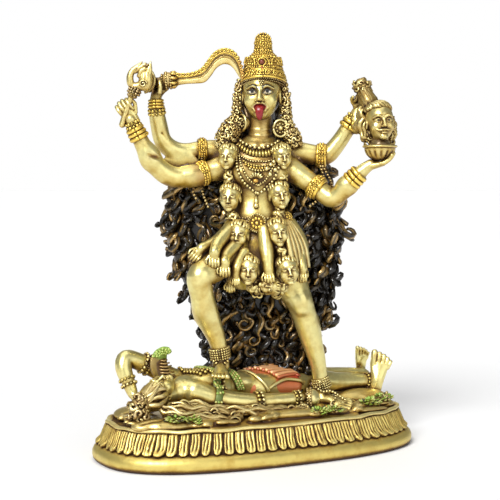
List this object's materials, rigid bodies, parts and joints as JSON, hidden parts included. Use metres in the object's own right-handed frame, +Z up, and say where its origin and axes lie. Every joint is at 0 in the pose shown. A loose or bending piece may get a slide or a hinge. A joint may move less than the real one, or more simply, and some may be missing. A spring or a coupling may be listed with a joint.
{
  "type": "kali figure",
  "caption": "Antique-gold resin figurine of the goddess Kali standing over the lying Shiva on an oval lotus plinth, with raised arms, a curved sword, a garland and a great fall of hair.",
  "frame": {"origin": "the middle of the plinth's flat underside, on the surface that the figure stands on", "axes": "+Z up, X along the long side of the plinth with the lying figure's head towards -X, -Y the front that the standing figure faces"},
  "size_m": [0.16, 0.0884, 0.1988],
  "materials": {
    "antique_gold_paint": "pale champagne-gold metallic paint on cast resin, with a brown wash left in the hollows",
    "bright_gold_paint": "brighter yellow gold paint picked out on the crown, armlets, sword socket and belt",
    "hair_paint": "black-brown paint, dry-brushed with gold on the ridges of the locks",
    "garland_paint": "pale gold faces with dark hair and a brown wash",
    "plinth_paint": "deeper antique gold on the plinth's band and petals, worn brighter at the edges",
    "ground_paint": "mottled gold, brown and green paint on hide, leaves and cloth"
  },
  "bodies": {
    "root": {"kali_figure": "antique_gold_paint"}
  },
  "joints": []
}
